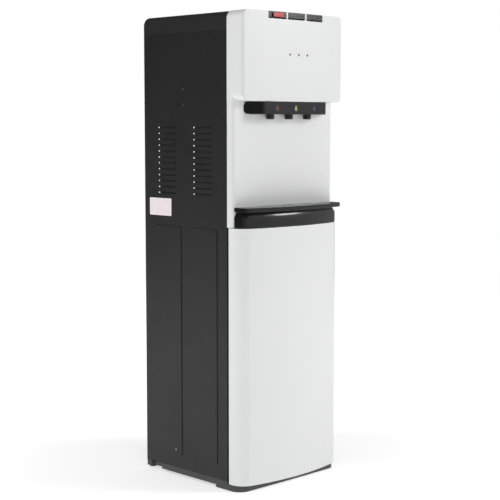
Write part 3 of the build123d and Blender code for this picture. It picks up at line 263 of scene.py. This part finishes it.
def prisms(name, side, outline, depths, material):
    """One prism in every louvre slot. Each corner of the outline is (along, up) from the slot's rear end
    and middle height; its depths say how far the outer and inner faces lie inside the panel's face."""
    bm = bmesh.new()
    for offset in LOUVRE_OFFSETS:
        rear = PANEL_FRONT + offset + LOUVRE_LENGTH / 2
        for row in range(LOUVRE_ROWS):
            middle = LOUVRE_TOP - LOUVRE_PITCH * row
            outer, inner = ([bm.verts.new((side * (PANEL_HALF - depth[face]) * MM, (rear + along) * MM,
                                           (middle + up) * MM))
                             for (along, up), depth in zip(outline, depths)] for face in (0, 1))
            for k in range(len(outline)):
                n = (k + 1) % len(outline)
                bm.faces.new((outer[k], outer[n], inner[n], inner[k]))
            bm.faces.new(outer)
            bm.faces.new(inner[::-1])
    bmesh.ops.recalc_face_normals(bm, faces=bm.faces)
    mesh = bpy.data.meshes.new(name)
    bm.to_mesh(mesh)
    bm.free()
    obj = bpy.data.objects.new(name, mesh)
    bpy.context.scene.collection.objects.link(obj)
    mesh.materials.append(material)
    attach(obj, "cabinet")


# A pale prism at each slot's rear end, a painted glint where the cut edge catches the light, and a blade
# that leans inward toward its top and closes most of the slot.
END_OUTLINE = [(-3.4, -1.35), (-1.6, -1.5), (-0.6, -0.9), (-0.3, 0.0), (-0.6, 0.9), (-1.6, 1.5), (-3.4, 1.35)]
END_DEPTHS = [(0.5, 1.1)] + [(0.08, 1.1)] * 5 + [(0.5, 1.1)]
BLADE_OUTLINE = [(2.2 - LOUVRE_LENGTH, -1.55), (-4.0, -1.55), (-4.0, 1.0), (2.2 - LOUVRE_LENGTH, 1.0)]
BLADE_DEPTHS = [(0.15, 0.6), (0.15, 0.6), (0.75, 1.15), (0.75, 1.15)]
# painted glint: the near-white colour stands in for light caught at the slots' rear ends
LOUVRE_GLINT_PAINT = surface("painted_louvre_glint", (0.80, 0.80, 0.80), 0.5, 0.08, 0.06, 60.0, 900.0, 0.2)
for side, hand in ((-1, "left"), (1, "right")):
    prisms("louvre_ends_" + hand, side, END_OUTLINE, END_DEPTHS, LOUVRE_GLINT_PAINT)
    prisms("louvre_blades_" + hand, side, BLADE_OUTLINE, BLADE_DEPTHS, SLOT["black_steel"])


# ---------------------------------------------------------------- camera, light and floor
def looking(forward):
    return Vector(forward).to_track_quat("-Z", "Y").to_euler()


CAMERA_PLACE = (-1.9988, -2.0238, 0.7831)
CAMERA_LENS = 91.4              # mm
CAMERA_SENSOR = 36.0            # mm
CAMERA_TURN = math.radians(-44.85)
CAMERA_DIP = math.radians(5.66)
camera_data = bpy.data.cameras.new("camera")
camera_data.lens = CAMERA_LENS
camera_data.sensor_width = CAMERA_SENSOR
camera = bpy.data.objects.new("camera", camera_data)
camera.location = CAMERA_PLACE
camera.rotation_euler = looking((-math.sin(CAMERA_TURN) * math.cos(CAMERA_DIP),
                                 math.cos(CAMERA_TURN) * math.cos(CAMERA_DIP), -math.sin(CAMERA_DIP)))
bpy.context.scene.collection.objects.link(camera)
bpy.context.scene.camera = camera
bpy.context.scene.view_settings.view_transform = "Standard"


def area_light(name, place, target, size, power, glossy=True):
    light = bpy.data.lights.new(name, "AREA")
    light.shape = "RECTANGLE"
    light.size, light.size_y = size
    light.energy = power
    obj = bpy.data.objects.new(name, light)
    obj.location = place
    obj.rotation_euler = looking(Vector(target) - Vector(place))
    obj.visible_glossy = glossy
    bpy.context.scene.collection.objects.link(obj)


area_light("key_light", (1.95, -2.4, 1.9), (0.0, -0.1, 0.75), (1.0, 1.0), 47.0)
area_light("top_light", (0.2, 0.2, 3.4), (0.0, 0.0, 0.0), (3.0, 3.0), 18.0)
area_light("left_fill", (-3.4, 1.2, 1.9), (-0.1, 0.0, 0.5), (1.6, 2.4), 60.0, glossy=False)
area_light("rear_fill", (-0.6, 3.4, 2.2), (0.0, 0.0, 0.5), (2.0, 2.0), 12.0, glossy=False)
area_light("front_fill", (-1.9, -3.0, 0.9), (0.0, 0.0, 0.5), (1.2, 1.2), 20.0, glossy=False)

WORLD_SEEN = 1.0                # strength where the camera sees past the floor
WORLD_DIFFUSE = 0.17
WORLD_GLOSSY = (0.03, 0.62)     # on the dark and on the bright side of the room
BRIGHT_SIDE = (0.62, -0.72, 0.30)
BRIGHT_FROM, BRIGHT_TO = -0.25, 0.9

world = bpy.data.worlds.new("studio")
bpy.context.scene.world = world
world.use_nodes = True
wn, wl = world.node_tree.nodes, world.node_tree.links
seen = wn.new("ShaderNodeLightPath")


def background(strength):
    node = wn.new("ShaderNodeBackground")
    node.inputs["Color"].default_value = (1, 1, 1, 1)
    if isinstance(strength, float):
        node.inputs["Strength"].default_value = strength
    else:
        wl.new(strength, node.inputs["Strength"])
    return node.outputs[0]


def either(switch, without, within):
    node = wn.new("ShaderNodeMixShader")
    wl.new(seen.outputs[switch], node.inputs[0])
    wl.new(without, node.inputs[1])
    wl.new(within, node.inputs[2])
    return node.outputs[0]


# Reflections see a room that is dark to the left and behind, and bright in front and to the right.
bearing = wn.new("ShaderNodeVectorMath")
bearing.operation = "DOT_PRODUCT"
bearing.inputs[1].default_value = BRIGHT_SIDE
wl.new(wn.new("ShaderNodeTexCoord").outputs["Generated"], bearing.inputs[0])
room = spread(wn, wl, bearing.outputs["Value"], *WORLD_GLOSSY, BRIGHT_FROM, BRIGHT_TO)
reflected = background(room)
unseen = either("Is Glossy Ray", background(WORLD_DIFFUSE), reflected)
wl.new(either("Is Camera Ray", unseen, background(WORLD_SEEN)), wn["World Output"].inputs["Surface"])

FLOOR_HALF = 2.8
FLOOR_DROP = 0.0004             # keeps the floor just below the feet
FLOOR_GLOW = (0.50, 0.80)       # below the object and far from it
GLOW_FROM, GLOW_TO = 0.4, 1.8   # metres from the middle

floor_mesh = bpy.data.meshes.new("studio_floor")
bm = bmesh.new()
bmesh.ops.create_grid(bm, x_segments=8, y_segments=8, size=FLOOR_HALF)
bm.to_mesh(floor_mesh)
bm.free()
floor = bpy.data.objects.new("studio_floor", floor_mesh)
floor.location.z = -FLOOR_DROP
bpy.context.scene.collection.objects.link(floor)
floor_mat, floor_nodes, floor_links = tree("studio_floor_paper")
paper = floor_nodes["Principled BSDF"]
paper.inputs["Base Color"].default_value = (0.86, 0.86, 0.86, 1)
paper.inputs["Roughness"].default_value = 0.9
paper.inputs["Specular IOR Level"].default_value = 0.1
paper.inputs["Emission Color"].default_value = (1, 1, 1, 1)
distance = floor_nodes.new("ShaderNodeVectorMath")
distance.operation = "LENGTH"
floor_links.new(coordinates(floor_nodes), distance.inputs[0])
glow = spread(floor_nodes, floor_links, distance.outputs["Value"], *FLOOR_GLOW, GLOW_FROM, GLOW_TO)
floor_links.new(glow, paper.inputs["Emission Strength"])
fibre = noise(floor_nodes, floor_links, coordinates(floor_nodes), 300.0)
floor_links.new(bump(floor_nodes, floor_links, fibre, 0.05, GRAIN_HEIGHT), paper.inputs["Normal"])
floor.data.materials.append(floor_mat)
